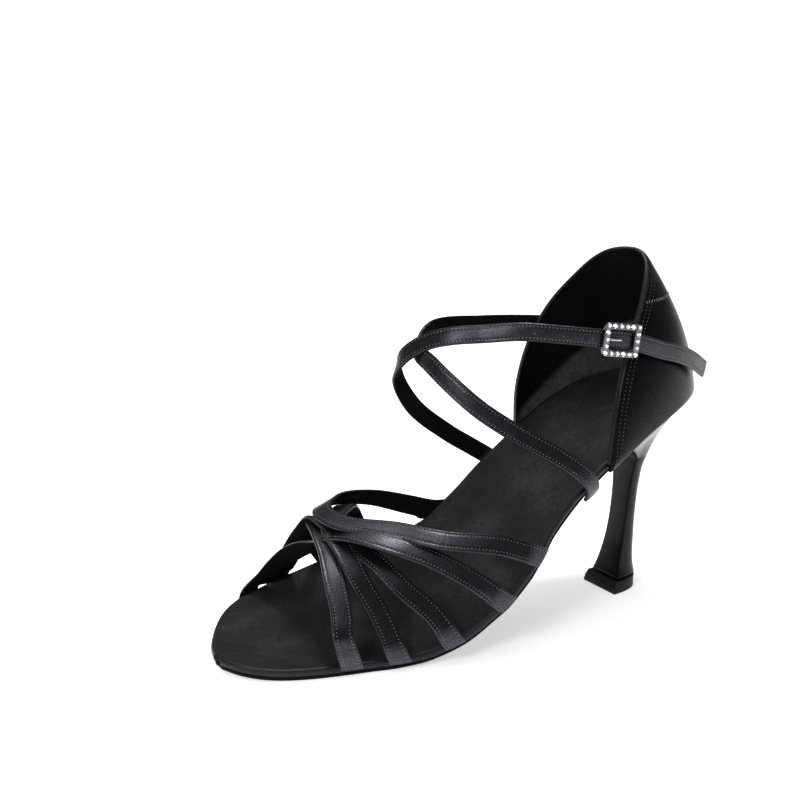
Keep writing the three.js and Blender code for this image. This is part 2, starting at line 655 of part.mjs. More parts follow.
const shoe = new THREE.Group();
shoe.name = 'ballroom_sandal';
shoe.add(
  piece('outsole', outsole, 0x2a2826, 0.9),
  piece('insole', insole, 0x2b2b2d, 0.85),
  piece('heel', heel, 0x1d1c20, 0.45),
  piece('heel_tip', heelTip, 0x1a1a1b, 0.6),
  piece('counter', counter(), 0x202024, 0.5),
  piece('vamp_straps', vampStraps, 0x2a2930, 0.45),
  piece('cross_straps', crossStraps, 0x2a2930, 0.45),
  piece('buckle_tab', buckleTab, 0x2a2930, 0.45),
  piece('buckle_frame', frame(), 0xc9cacd, 0.2, 1),
  piece('buckle_keeper', keeper, 0xb9babd, 0.25, 1),
  piece('buckle_prong', prong, 0xb9babd, 0.25, 1),
);
export default shoe;
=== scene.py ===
"""Looks of the left ballroom sandal: satin straps and counter, napped sock, covered heel, stone-set buckle.

Shapes are worked out in millimetres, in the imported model's frame, and written to the meshes in metres.
"""

import math
import random

import bmesh
import bpy
import numpy as np
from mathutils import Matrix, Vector


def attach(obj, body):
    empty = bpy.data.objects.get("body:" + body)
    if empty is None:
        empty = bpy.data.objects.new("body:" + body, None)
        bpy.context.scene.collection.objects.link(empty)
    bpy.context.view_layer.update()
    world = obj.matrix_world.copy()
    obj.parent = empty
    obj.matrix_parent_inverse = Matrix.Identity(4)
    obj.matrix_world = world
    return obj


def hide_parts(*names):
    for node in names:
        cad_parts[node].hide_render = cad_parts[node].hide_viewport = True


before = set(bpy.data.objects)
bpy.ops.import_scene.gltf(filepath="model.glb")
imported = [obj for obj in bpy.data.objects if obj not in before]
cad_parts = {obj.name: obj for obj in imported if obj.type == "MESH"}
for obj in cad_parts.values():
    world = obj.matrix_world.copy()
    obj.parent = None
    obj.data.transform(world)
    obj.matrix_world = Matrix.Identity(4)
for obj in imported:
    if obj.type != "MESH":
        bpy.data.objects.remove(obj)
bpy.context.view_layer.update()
random.seed(7)

MM = 0.001

# Sizes
SOLE_LENGTH, BALL_WIDTH, SEAT_HEIGHT, SEAT_BACK = 200.0, 80.0, 87.7, -27.6
INSOLE_THICK, OUTSOLE_THICK, OUTSOLE_INSET, GAP = 2.9, 1.5, 1.0, 0.3
HEEL_TIP_WIDTH, HEEL_TIP_HEIGHT = 19.0, 5.0
COUNTER_RISE, COUNTER_THICK, COUNTER_END = 53.5, 2.0, 0.29
STRAP_WIDTH, STRAP_THICK, TUCK, LAP, ANKLE_WIDTH = 8.0, 1.5, 1.2, 0.8, 7.0
INNER_TUCK = 2.4
TAB_WIDTH, TAB_THICK = 6.0, 1.2
BUCKLE_LENGTH, BUCKLE_TALL, BUCKLE_BAR, BUCKLE_THICK, WIRE = 16.0, 12.8, 2.6, 1.8, 1.2
SEAT_ROW, HOOK_ROW = 11.72, 11.05
BREAST = 0.24
BALL_HEIGHT = INSOLE_THICK + GAP + OUTSOLE_THICK
HALF_STRAP = STRAP_WIDTH / 2 / SOLE_LENGTH
STITCH_ROW = 0.63     # a stitch row's share of a strap's half width
FACE = 0.94           # the outer face's share of a strap's thickness, the rest being its crown

# Footbed: share of the length, share of the drop, skew
PROFILE = [
    (0.00, 1.000, 0.00), (0.16, 0.889, 0.00), (0.30, 0.704, 0.00), (0.39, 0.548, 0.09),
    (0.48, 0.383, 0.17), (0.57, 0.214, 0.24), (0.65, 0.066, 0.25), (0.71, 0.012, 0.25),
    (0.76, 0.000, 0.25), (0.91, 0.000, 0.12), (1.00, 0.018, 0.00)]
# Outline: share of the length, outer and inner shares of the ball width
OUTLINE = [
    (0.000, 0.012, 0.012), (0.006, 0.090, 0.105), (0.023, 0.160, 0.190), (0.052, 0.221, 0.262),
    (0.100, 0.271, 0.325), (0.175, 0.308, 0.368), (0.250, 0.318, 0.385), (0.310, 0.318, 0.385),
    (0.370, 0.310, 0.378), (0.430, 0.322, 0.362), (0.475, 0.355, 0.362), (0.520, 0.373, 0.420),
    (0.565, 0.373, 0.545), (0.610, 0.344, 0.700), (0.655, 0.306, 0.790), (0.700, 0.260, 0.822),
    (0.745, 0.212, 0.806), (0.790, 0.168, 0.755), (0.840, 0.125, 0.690), (0.890, 0.072, 0.608),
    (0.930, 0.012, 0.520), (0.963, -0.055, 0.430), (0.985, -0.125, 0.355), (1.000, -0.205, 0.270)]
# Heel post: share of the seat height, width, depth and front face as shares of the tip's width
POST = [
    (0.060, 0.82, 0.72, 0.27), (0.100, 0.72, 0.63, 0.215), (0.160, 0.63, 0.54, 0.14),
    (0.240, 0.57, 0.46, 0.05), (0.340, 0.54, 0.40, -0.025), (0.460, 0.56, 0.38, -0.085),
    (0.560, 0.66, 0.40, -0.12), (0.640, 0.86, 0.50, -0.125)]
FLARE = [(0.16, 0.22), (0.36, 0.44), (0.60, 0.65), (0.83, 0.85), (1.00, 1.00)]
# Counter's top line from the inner front corner round the back to the outer one: ahead, side, rise.
# These rows, and the inner rows of the third and fourth strands, were worked out outside this script
# from points of the photo's outline.
TOPLINE = [
    (0.142, -0.412, -0.450), (0.142, -0.406, -0.109), (0.124, -0.375, 0.238), (0.094, -0.319, 0.522),
    (0.058, -0.250, 0.729), (0.022, -0.169, 0.898), (0.001, -0.087, 0.967), (-0.024, 0.000, 0.976),
    (-0.023, 0.075, 0.935), (-0.004, 0.144, 0.840), (0.028, 0.206, 0.673), (0.067, 0.259, 0.466),
    (0.101, 0.294, 0.239), (0.129, 0.325, -0.072), (0.146, 0.345, -0.427)]
# Strap paths: x, y, z as shares of sole length, ball width and seat height, then lean and edge
INNER_ANKLE = [
    (0.209, -0.389, 0.618, 0, 0), (0.252, -0.405, 0.685, 0, 0), (0.306, -0.408, 0.768, 4, 0),
    (0.389, -0.400, 0.925, 8, 0), (0.432, -0.372, 1.083, 18, 0), (0.440, -0.300, 1.184, 28, 0),
    (0.415, -0.202, 1.263, 30, 0), (0.389, -0.100, 1.300, 26, 0), (0.345, 0.005, 1.317, 20, 0),
    (0.296, 0.125, 1.334, 14, 0), (0.235, 0.238, 1.324, 8, 0), (0.165, 0.318, 1.302, 4, 0),
    (0.125, 0.338, 1.288, 2, 0), (0.080, 0.345, 1.255, 0, 0), (0.030, 0.338, 1.212, 2, 0),
    (-0.025, 0.318, 1.170, 4, 0), (-0.073, 0.283, 1.121, 4, 0), (-0.122, 0.238, 1.054, 2, 0)]
OUTER_ANKLE = [
    (0.190, 0.321, 0.618, 0, 1), (0.192, 0.348, 0.654, 0, 1), (0.206, 0.358, 0.706, 12, 0.8),
    (0.256, 0.318, 0.806, 22, 0.3), (0.321, 0.212, 0.910, 20, 0.1), (0.376, 0.092, 1.016, 18, 0),
    (0.404, -0.026, 1.104, 18, 0), (0.416, -0.146, 1.172, 20, 0), (0.414, -0.272, 1.221, 16, 0),
    (0.352, -0.372, 1.271, 10, 0), (0.230, -0.400, 1.249, 2, 0), (0.130, -0.382, 1.225, 8, 0),
    (0.095, -0.372, 1.215, 14, 0)]
TAB = [
    (-0.025, 0.285, 1.172, 14, 0), (0.010, 0.293, 1.197, 14, 0), (0.040, 0.292, 1.220, 12, 0),
    (0.070, 0.300, 1.243, 8, 0), (0.098, 0.316, 1.266, 2, 0)]
# Vamp strands: rim shares, then x, y, z, lean
STRANDS = [
    (0.823, 0.602, [
        (0.688, 0.150, 0.190, 0), (0.674, 0.075, 0.268, 0), (0.658, -0.050, 0.365, 0),
        (0.640, -0.175, 0.438, 0), (0.628, -0.290, 0.488, 0), (0.616, -0.400, 0.510, 0),
        (0.585, -0.560, 0.440, 0), (0.552, -0.680, 0.290, 0)]),
    (0.747, 0.562, [
        (0.606, 0.125, 0.240, 0), (0.623, 0.025, 0.370, 0), (0.623, -0.112, 0.468, 0),
        (0.615, -0.260, 0.520, 0), (0.542, -0.425, 0.530, 15), (0.486, -0.575, 0.395, 20)]),
    (0.661, 0.664, [
        (0.522, 0.262, 0.228, 0), (0.564, 0.163, 0.342, 0), (0.584, 0.038, 0.422, 0),
        (0.601, -0.112, 0.478, 0), (0.611, -0.250, 0.520, 0), (0.619, -0.362, 0.531, 35),
        (0.614, -0.500, 0.428, 50), (0.607, -0.644, 0.299, 50), (0.605, -0.750, 0.182, 25)]),
    (0.572, 0.722, [
        (0.458, 0.338, 0.376, 0), (0.512, 0.225, 0.462, 0), (0.571, 0.075, 0.519, 0),
        (0.611, -0.100, 0.530, 0), (0.622, -0.240, 0.490, 0), (0.620, -0.338, 0.428, 35),
        (0.622, -0.469, 0.366, 55), (0.628, -0.594, 0.294, 55), (0.637, -0.700, 0.214, 30),
        (0.647, -0.781, 0.130, 10)]),
    (0.482, 0.474, [
        (0.394, 0.338, 0.496, 0), (0.493, 0.213, 0.536, 0), (0.547, 0.025, 0.553, 0),
        (0.606, -0.175, 0.553, 0), (0.616, -0.300, 0.560, 0), (0.601, -0.400, 0.560, -5),
        (0.552, -0.470, 0.556, -25), (0.462, -0.498, 0.512, -40), (0.394, -0.440, 0.460, -75)]),
]


# curves

def column(rows, key):
    """Smooth curve through one column of a table that never overshoots its rows."""
    x = [r[0] for r in rows]
    y = [r[key] for r in rows]
    n = len(x)
    d = [(y[i + 1] - y[i]) / (x[i + 1] - x[i]) for i in range(n - 1)]
    m = [d[0]]
    for i in range(1, n - 1):
        if d[i - 1] * d[i] <= 0:
            m.append(0.0)
        else:
            a, b = x[i + 1] - x[i], x[i] - x[i - 1]
            m.append(3 * (a + b) / ((2 * a + b) / d[i - 1] + (a + 2 * b) / d[i]))
    m.append(d[-1])

    def at(t):
        v = min(max(t, x[0]), x[-1])
        i = 0
        while i < n - 2 and v > x[i + 1]:
            i += 1
        h = x[i + 1] - x[i]
        s = (v - x[i]) / h
        return ((1 + 2 * s) * (1 - s) ** 2 * y[i] + s * (1 - s) ** 2 * h * m[i]
                + s * s * (3 - 2 * s) * y[i + 1] + s * s * (s - 1) * h * m[i + 1])
    return at


def vec(x, y, z):
    return np.array([x, y, z], float)


def unit(v):
    n = np.linalg.norm(v)
    return v / n if n > 1e-12 else v


def turned(v, axis, degrees):
    a = math.radians(degrees)
    return v * math.cos(a) + np.cross(axis, v) * math.sin(a) + axis * np.dot(axis, v) * (1 - math.cos(a))


class Curve:
    """Catmull-Rom curve through points: centripetal, or with an even tension."""

    def __init__(self, points, tension=None):
        self.p = [np.asarray(q, float) for q in points]
        self.tension = tension

    def at(self, t):
        p = self.p
        n = len(p)
        u = (n - 1) * t
        i = min(max(int(math.floor(u)), 0), n - 2)
        w = u - i
        p1, p2 = p[i], p[i + 1]
        p0 = p[i - 1] if i > 0 else 2 * p[0] - p[1]
        p3 = p[i + 2] if i + 2 < n else 2 * p[n - 1] - p[n - 2]
        if self.tension is None:
            e = [max(np.dot(b - a, b - a), 1e-12) ** 0.25 for a, b in ((p0, p1), (p1, p2), (p2, p3))]
            t1 = ((p1 - p0) / e[0] - (p2 - p0) / (e[0] + e[1]) + (p2 - p1) / e[1]) * e[1]
            t2 = ((p2 - p1) / e[1] - (p3 - p1) / (e[1] + e[2]) + (p3 - p2) / e[2]) * e[1]
        else:
            t1, t2 = self.tension * (p2 - p0), self.tension * (p3 - p1)
        return (p1 + t1 * w + (-3 * p1 + 3 * p2 - 2 * t1 - t2) * w ** 2
                + (2 * p1 - 2 * p2 + t1 + t2) * w ** 3)

    def tangent(self, t):
        a, b = max(t - 1e-4, 0), min(t + 1e-4, 1)
        return unit(self.at(b) - self.at(a))


drop_at, skew_at = column(PROFILE, 1), column(PROFILE, 2)
outer_at, inner_at = column(OUTLINE, 1), column(OUTLINE, 2)


def height_at(at):
    return BALL_HEIGHT + drop_at(at) * (SEAT_HEIGHT - BALL_HEIGHT)


def slope_at(at):
    e = 0.006
    a = min(max(at, e), 1 - e)
    return math.atan2(height_at(a - e) - height_at(a + e), 2 * e * SOLE_LENGTH)


def plan(at, side, out=0.0):
    """A point of the footbed's plan. side: -1 inner rim, +1 outer rim. out: beyond the rim."""
    o, n = outer_at(at) * BALL_WIDTH, -inner_at(at) * BALL_WIDTH
    y = (o + n) / 2 + side * (o - n) / 2
    p = vec(SEAT_BACK + at * SOLE_LENGTH - skew_at(at) * y, y, 0)
    if not out:
        return p
    e = 0.003
    s = math.copysign(1, side)
    t = unit(plan(min(at + e, 1), s) - plan(max(at - e, 0), s))
    return p + vec(-t[1], t[0], 0) * s * out


def on_bed(p, lift=0.0, guess=0.5):
    here = guess
    for _ in range(8):
        here = (p[0] - SEAT_BACK + skew_at(here) * p[1]) / SOLE_LENGTH
    a = slope_at(here)
    return vec(p[0] + math.sin(a) * lift, p[1], height_at(here) + math.cos(a) * lift)


def bed(at, side, lift=0.0, out=0.0):
    return on_bed(plan(at, side, out), lift, at)


def along_rim(at, side):
    return unit(bed(at + HALF_STRAP, side) - bed(at - HALF_STRAP, side))


def beside_rim(at, side, lift):
    t = along_rim(at, side)
    n = unit(vec(-t[1], t[0], 0)) * side
    p = bed(at, side, lift)
    places = [at + k * HALF_STRAP for k in (-1.4, -1, -0.5, 0, 0.5, 1, 1.4)]
    reach = max(float(np.dot(bed(q, side, lift) - p, n)) for q in places)
    return p + n * (reach + GAP + STRAP_THICK)


def place(r):
    return vec(r[0] * SOLE_LENGTH, r[1] * BALL_WIDTH, r[2] * SEAT_HEIGHT)


# meshes

def make(name, verts, faces, mats, which=None, uvs=None, smooth=True, node=None):
    """A mesh object from points in millimetres. which: material index a face. uvs: one pair a corner."""
    me = bpy.data.meshes.new(name)
    me.from_pydata([tuple(v * MM) for v in verts], [], faces)
    if uvs is not None:
        layer = me.uv_layers.new(name="along")
        flat = np.array([uvs[v] for f in faces for v in f], np.float32).ravel()
        layer.data.foreach_set("uv", flat)
    for m in mats:
        me.materials.append(m)
    if which is not None:
        me.polygons.foreach_set("material_index", which)
    me.polygons.foreach_set("use_smooth", [smooth] * len(faces))
    me.validate()
    me.update()
    o = bpy.data.objects.new(name, me)
    bpy.context.collection.objects.link(o)
    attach(o, "root")
    for n in (node or []):
        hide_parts(n)
    return o


class Build:
    """Gathers points and faces of several solids for one mesh."""

    def __init__(self):
        self.v, self.f, self.m, self.uv = [], [], [], []

    def loft(self, rings, mats=None, caps=(True, True), loop=False, uv=None):
        """rings of equal length. mats: material index by position round the ring."""
        n = len(rings[0])
        base = len(self.v)
        for i, r in enumerate(rings):
            for j, p in enumerate(r):
                self.v.append(np.asarray(p, float))
                self.uv.append(uv[i][j] if uv is not None else (0.0, 0.0))
        rows = len(rings) if loop else len(rings) - 1
        for i in range(rows):
            a, b = base + i * n, base + ((i + 1) % len(rings)) * n
            for j in range(n):
                q = (j + 1) % n
                self.f.append((a + j, a + q, b + q, b + j))
                self.m.append(mats[j] if mats is not None else 0)
        if not loop:
            if caps[0]:
                self.f.append(tuple(base + j for j in range(n))[::-1])
                self.m.append(mats[0] if mats is not None else 0)
            if caps[1]:
                e = base + (len(rings) - 1) * n
                self.f.append(tuple(e + j for j in range(n)))
                self.m.append(mats[0] if mats is not None else 0)

    def add(self, verts, faces, mat=0):
        base = len(self.v)
        self.v.extend(np.asarray(p, float) for p in verts)
        self.uv.extend((0.0, 0.0) for _ in verts)
        self.f.extend(tuple(base + k for k in f) for f in faces)
        self.m.extend([mat] * len(faces))

    def done(self, name, mats, slot, node=None, smooth=True):
        o = make(name, self.v, self.f, mats, which=self.m, uvs=self.uv, smooth=smooth, node=node)
        bm_fix(o)
        return o


def bm_fix(o):
    """Turns every face outward."""
    bm = bmesh.new()
    bm.from_mesh(o.data)
    bmesh.ops.recalc_face_normals(bm, faces=bm.faces)
    bm.to_mesh(o.data)
    bm.free()


# materials

def shader(name, base, rough, metallic=0.0, spec=0.5, sheen=0.0, sheen_rough=0.5, tint=(1, 1, 1),
           coat=0.0, coat_rough=0.1, shine=(1, 1, 1)):
    m = bpy.data.materials.new(name)
    m.use_nodes = True
    b = m.node_tree.nodes["Principled BSDF"]
    b.inputs["Base Color"].default_value = (*base, 1)
    b.inputs["Roughness"].default_value = rough
    b.inputs["Metallic"].default_value = metallic
    b.inputs["Specular IOR Level"].default_value = spec
    b.inputs["Specular Tint"].default_value = (*shine, 1)
    b.inputs["Sheen Weight"].default_value = sheen
    b.inputs["Sheen Roughness"].default_value = sheen_rough
    b.inputs["Sheen Tint"].default_value = (*tint, 1)
    b.inputs["Coat Weight"].default_value = coat
    b.inputs["Coat Roughness"].default_value = coat_rough
    return m, m.node_tree, b


def node(tree, kind, **values):
    n = tree.nodes.new(kind)
    for k, v in values.items():
        if hasattr(n, k):
            setattr(n, k, v)
        else:
            n.inputs[k].default_value = v
    return n


def noise(tree, scale, detail=3.0, rough=0.55, source="Object", stretch=None):
    c = node(tree, "ShaderNodeTexCoord")
    n = node(tree, "ShaderNodeTexNoise", Scale=scale, Detail=detail, Roughness=rough)
    if stretch is None:
        tree.links.new(c.outputs[source], n.inputs["Vector"])
    else:
        mp = node(tree, "ShaderNodeMapping")
        mp.inputs["Scale"].default_value = stretch
        tree.links.new(c.outputs[source], mp.inputs["Vector"])
        tree.links.new(mp.outputs[0], n.inputs["Vector"])
    return n


def ramp(tree, source, stops):
    r = node(tree, "ShaderNodeValToRGB")
    e = r.color_ramp.elements
    while len(e) < len(stops):
        e.new(0.5)
    for k, (pos, col) in enumerate(stops):
        e[k].position = pos
        e[k].color = (*col, 1) if len(col) == 3 else col
    tree.links.new(source, r.inputs[0])
    return r


def bump(tree, b, layers):
    """layers: (height output, distance in metres, strength), laid one over another."""
    last = None
    for out, distance, strength in layers:
        n = node(tree, "ShaderNodeBump", Distance=distance, Strength=strength)
        tree.links.new(out, n.inputs["Height"])
        if last is not None:
            tree.links.new(last.outputs[0], n.inputs["Normal"])
        last = n
    tree.links.new(last.outputs[0], b.inputs["Normal"])


def grey(v, tone=(1.0, 1.0, 1.0)):
    return tuple(v * k for k in tone)


VIOLET = (1.0, 0.955, 1.14)
PALE_END = 8.5    # millimetres of each strand that pale towards the outer rim


def satin(name, level=0.018, rough=0.36, sheen=0.35, grain=1.0, spec=0.55):
    """Black satin: a dark ground, and a shine that the weave breaks into fine violet-grey specks."""
    m, t, b = shader(name, grey(level, VIOLET), rough, spec=spec, sheen=sheen, sheen_rough=0.35,
                     tint=(0.80, 0.76, 0.95), shine=(0.86, 0.84, 1.0))
    speck = noise(t, 3800.0, 1.0, 0.6)
    r = ramp(t, speck.outputs["Fac"], [(0.36, grey(level * 0.6, VIOLET)), (0.56, grey(level, VIOLET)),
                                       (0.72, grey(level * 2.4, VIOLET))])
    t.links.new(r.outputs[0], b.inputs["Base Color"])
    gloss = ramp(t, noise(t, 90.0, 3.0).outputs["Fac"],
                 [(0.25, grey(rough - 0.04)), (0.8, grey(rough + 0.08))])
    t.links.new(gloss.outputs[0], b.inputs["Roughness"])
    shine = ramp(t, speck.outputs["Fac"], [(0.36, grey(spec * 0.3)), (0.64, grey(spec * 1.5))])
    t.links.new(shine.outputs[0], b.inputs["Specular IOR Level"])
    fine = noise(t, 1.0, 2.0, source="UV", stretch=(1.2, 7.0, 1.0))
    pull = noise(t, 55.0, 2.0)
    bump(t, b, [(pull.outputs["Fac"], 0.0012, 0.22 * grain), (fine.outputs["Fac"], 0.00006, 0.5 * grain),
                (speck.outputs["Fac"], 0.00004, 0.8 * grain)])
    return m


def napped(name, level=0.030, spec=0.15, sheen=0.1, parts=False):
    m, t, b = shader(name, grey(level), 0.92, spec=spec, sheen=sheen, sheen_rough=0.6, tint=(0.9, 0.9, 0.95))
    big = noise(t, 45.0, 5.0, 0.62)
    small = noise(t, 700.0, 3.0)
    mix = node(t, "ShaderNodeMath", operation="ADD")
    half = node(t, "ShaderNodeMath", operation="MULTIPLY")
    half.inputs[1].default_value = 0.45
    t.links.new(small.outputs["Fac"], half.inputs[0])
    t.links.new(big.outputs["Fac"], mix.inputs[0])
    t.links.new(half.outputs[0], mix.inputs[1])
    r = ramp(t, mix.outputs[0], [(0.50, grey(level * 0.58)), (0.72, grey(level)), (0.90, grey(level * 1.8))])
    t.links.new(r.outputs[0], b.inputs["Base Color"])
    bump(t, b, [(noise(t, 1900.0, 4.0).outputs["Fac"], 0.00025, 0.6), (big.outputs["Fac"], 0.0008, 0.25)])
    return (m, t, b) if parts else m


def lining_with_painted_shade(name, shade_above, lower):
    """Near black above, charcoal below a line that climbs towards the back of the counter. The near black is
    painted shade inside the counter, and the line follows a shadow edge. The charcoal is the suede lining's
    colour, lifted with painted light.
    """
    m, t, b = napped(name, 1.0, spec=0.08, sheen=0.0, parts=True)
    colour = b.inputs["Base Color"].links[0].from_socket
    axes = node(t, "ShaderNodeSeparateXYZ")
    t.links.new(node(t, "ShaderNodeTexCoord").outputs["Object"], axes.inputs[0])
    level = node(t, "ShaderNodeMath", operation="MULTIPLY_ADD")
    level.inputs[1].default_value = 0.85
    t.links.new(axes.outputs["X"], level.inputs[0])
    t.links.new(axes.outputs["Z"], level.inputs[2])
    # Painted shade above the shadow edge, charcoal suede below.
    shadow_edge = ramp(t, level.outputs[0], [(0.0902, grey(lower)), (0.0908, grey(shade_above))])
    mix = node(t, "ShaderNodeMix", data_type="RGBA", blend_type="MULTIPLY")
    mix.inputs[0].default_value = 1.0
    t.links.new(colour, mix.inputs[6])
    t.links.new(shadow_edge.outputs[0], mix.inputs[7])
    t.links.new(mix.outputs[2], b.inputs["Base Color"])
    return m


def strap_end(name):
    """The last millimetres of a strand at the outer rim, paler and duller towards the edge."""
    m = satin(name, level=0.045, rough=0.52, sheen=0.10, spec=0.35)
    t = m.node_tree
    b = t.nodes["Principled BSDF"]
    colour = b.inputs["Base Color"].links[0].from_socket
    axes = node(t, "ShaderNodeSeparateXYZ")
    t.links.new(node(t, "ShaderNodeTexCoord").outputs["UV"], axes.inputs[0])
    share = node(t, "ShaderNodeMath", operation="DIVIDE")
    share.inputs[1].default_value = PALE_END
    t.links.new(axes.outputs["X"], share.inputs[0])
    fade = ramp(t, share.outputs[0],
                [(0.2, grey(1.0)), (0.55, grey(0.85)), (0.82, grey(0.40)), (1.0, grey(0.10))])
    mix = node(t, "ShaderNodeMix", data_type="RGBA", blend_type="MULTIPLY")
    mix.inputs[0].default_value = 1.0
    t.links.new(colour, mix.inputs[6])
    t.links.new(fade.outputs[0], mix.inputs[7])
    t.links.new(mix.outputs[2], b.inputs["Base Color"])
    dull = ramp(t, share.outputs[0], [(0.5, grey(0.52)), (1.0, grey(0.29))])
    t.links.new(dull.outputs[0], b.inputs["Roughness"])
    return m


def plain_fine(name, base, rough, scale, depth, spec=0.4, metallic=0.0, sheen=0.0, coat=0.0):
    m, t, b = shader(name, base, rough, spec=spec, metallic=metallic, sheen=sheen, coat=coat)
    n = noise(t, scale, 3.0)
    r = ramp(t, n.outputs["Fac"],
             [(0.3, tuple(c * 0.8 for c in base)), (0.75, tuple(c * 1.25 for c in base))])
    t.links.new(r.outputs[0], b.inputs["Base Color"])
    g = ramp(t, noise(t, scale * 0.35, 2.0).outputs["Fac"],
             [(0.3, grey(max(rough - 0.06, 0.02))), (0.75, grey(min(rough + 0.08, 1)))])
    t.links.new(g.outputs[0], b.inputs["Roughness"])
    bump(t, b, [(n.outputs["Fac"], depth, 0.5)])
    return m


# Lining: painted shade above a shadow edge, charcoal suede below lifted with painted light.
LINING = lining_with_painted_shade("lining", 0.0025, 0.048)
SATIN = satin("satin_strap", level=0.0040, rough=0.27, sheen=0.02, grain=1.0, spec=0.46)
SATIN_END = strap_end("satin_strap_end")
COUNTER_SATIN = satin("satin_counter", level=0.0016, rough=0.27, sheen=0.0, grain=0.6, spec=0.13)
SOCK = napped("sock", 0.0135, spec=0.07, sheen=0.03)
WRAP = plain_fine("insole_wrap", (0.0035, 0.0035, 0.008), 0.45, 500.0, 0.00008, spec=0.25)
SUEDE = plain_fine("suede_sole", (0.007, 0.0065, 0.0065), 0.95, 1200.0, 0.0003, spec=0.10, sheen=0.02)
HEEL_COVER = satin("heel_cover", level=0.0022, rough=0.20, sheen=0.0, grain=0.3, spec=0.14)
TIP = plain_fine("heel_tip_rubber", (0.005, 0.005, 0.006), 0.50, 900.0, 0.00006, spec=0.20)
PIPING = satin("piping", level=0.006, rough=0.38, sheen=0.03, grain=0.6, spec=0.26)
# Strap stitch thread, pale far above the satin: painted highlight on the stitches.
HIGHLIT_THREAD = plain_fine("thread", (0.24, 0.235, 0.28), 0.38, 3000.0, 0.00002, spec=0.6)
COUNTER_THREAD = plain_fine("counter_thread", (0.085, 0.083, 0.10), 0.38, 3000.0, 0.00002, spec=0.5)
# Pale thread of the bar stitches, also the painted glint on the punched holes' lips.
PALE_THREAD_AND_GLINT = plain_fine("bar_thread_and_glint", (0.20, 0.195, 0.21), 0.5, 3000.0, 0.00002, spec=0.5)
SILVER = plain_fine("buckle_silver", (0.16, 0.16, 0.17), 0.22, 300.0, 0.00001, metallic=1.0)
WIRE_SILVER = plain_fine("wire_silver", (0.42, 0.42, 0.44), 0.20, 300.0, 0.00001, metallic=1.0)
# Cut stones in bright, grey and dark copies given facet by facet: painted highlight and painted reflections.
STONE_HIGHLIGHT = plain_fine("clear_stones", (0.78, 0.79, 0.82), 0.06, 800.0, 0.000004, metallic=0.75, coat=1.0)
STONE_GREY_REFLECTION = plain_fine("clear_stones_grey_reflection", (0.24, 0.24, 0.26), 0.06, 800.0, 0.000004, metallic=0.75,
                        coat=0.6)
STONE_DARK_REFLECTION = plain_fine("clear_stones_dark_reflection", (0.03, 0.03, 0.035), 0.08, 800.0, 0.000004, metallic=0.4)
# Painted shade in needle holes and inside punched holes.
HOLE_SHADE = plain_fine("hole_shade", (0.001, 0.001, 0.001), 0.9, 900.0, 0.00002, spec=0.05)
EYELET = plain_fine("hole_rim", (0.010, 0.010, 0.012), 0.4, 900.0, 0.00002)


# ribbons

def section(width, thick, welt):
    """Points round a folded strap: rounded edges, a fine dip under each stitch row. Starts underneath."""
    top = []
    for k in range(25):
        s = -1 + 2 * k / 24
        edge = max(abs(s) - 0.86, 0) / 0.14
        h = thick * (1 - 0.42 * edge ** 2.2)
        h -= welt * math.exp(-((abs(s) - STITCH_ROW) / 0.07) ** 2)
        h += 0.10 * thick * (1 - s * s)
        top.append((s * width / 2 * (1 - 0.012 * edge), h * FACE))
    under = [(width / 2 * 0.985, thick * 0.22), (width / 2 * 0.93, 0.03), (width / 4, 0.0), (0, 0.0),
             (-width / 4, 0.0), (-width / 2 * 0.93, 0.03), (-width / 2 * 0.985, thick * 0.22)]
    return top + under, [0] * 24 + [0, 1, 1, 1, 1, 1, 1, 0]


